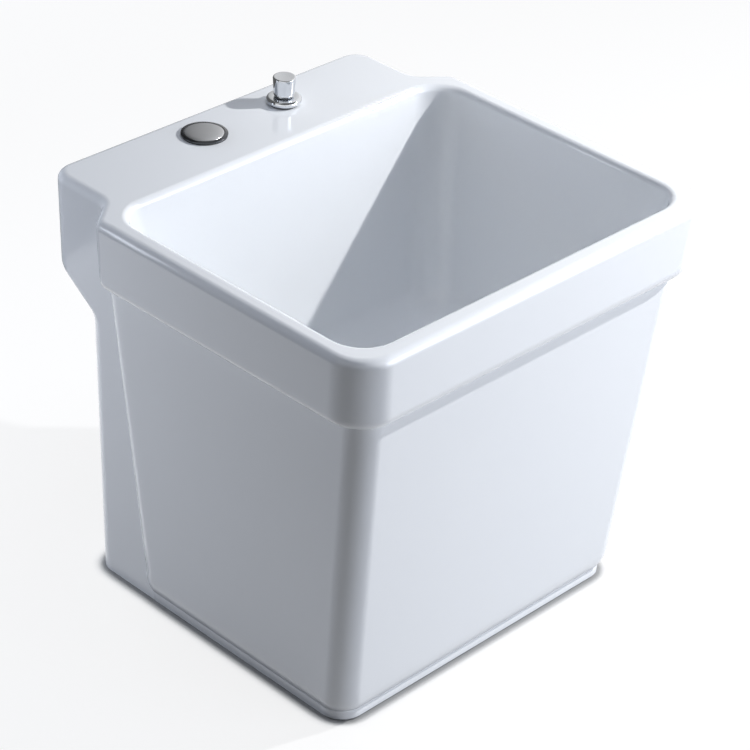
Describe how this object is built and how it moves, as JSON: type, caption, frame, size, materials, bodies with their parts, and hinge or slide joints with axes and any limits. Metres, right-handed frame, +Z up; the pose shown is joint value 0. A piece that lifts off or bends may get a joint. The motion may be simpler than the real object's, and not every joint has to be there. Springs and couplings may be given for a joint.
{
  "type": "mop service sink",
  "caption": "Floor-standing ceramic mop service sink with a deep basin, a rear tap deck, a hollow pedestal and a pop-up waste worked by a lift knob.",
  "frame": {"origin": "on the floor, under the middle of the overall box", "axes": "+Z up, +Y towards the wall behind the sink, +X to the right of someone who faces the sink from its front"},
  "size_m": [0.4488, 0.4294, 0.4428],
  "materials": {
    "glaze": "gloss white glaze",
    "chrome": "polished",
    "rubber": "matte",
    "steel": "satin",
    "brass": "satin",
    "nylon": "matte white",
    "waste_plastic": "matte grey"
  },
  "bodies": {
    "sink": {"sink_body": "glaze", "tap_hole_cover": "chrome", "cover_gasket": "rubber", "cover_stud": "steel", "cover_washer": "steel", "cover_wing_nut": "steel", "knob_guide": "chrome", "guide_gasket": "rubber", "guide_washer": "steel", "guide_nut": "brass", "ball_seats": "nylon", "ball_nut": "chrome", "waste_flange": "chrome", "flange_gasket": "rubber", "waste_body": "waste_plastic", "body_gasket": "rubber", "friction_washer": "nylon", "lock_nut": "waste_plastic", "slip_nut": "waste_plastic", "slip_washer": "rubber", "drain_pipe": "waste_plastic"},
    "lift": {"lift_knob": "chrome", "lift_rod": "steel", "lift_strap": "steel", "strap_screw": "steel"},
    "pivot": {"ball_rod": "steel", "spring_clip": "steel"},
    "stopper": {"stopper": "chrome", "stopper_seal": "rubber"}
  },
  "joints": [
    {"name": "knob_lift", "type": "slide", "parent": "sink", "child": "lift", "axis": [0, 0, 1], "range_m": [0, 0.035]},
    {"name": "ball_pivot", "type": "hinge", "parent": "sink", "child": "pivot", "pos_m": [0.01139, 0.0352, 0.126], "axis": [0.9514, -0.308, 0], "range_deg": [0, 13.35]},
    {"name": "stopper_lift", "type": "slide", "parent": "sink", "child": "stopper", "axis": [0, 0, 1], "range_m": [-0.00866, 0]}
  ],
  "couplings": [
    {"joint": "ball_pivot", "follows": "knob_lift", "rad_per_m": 6.6526},
    {"joint": "stopper_lift", "follows": "knob_lift", "ratio": -0.24726}
  ]
}
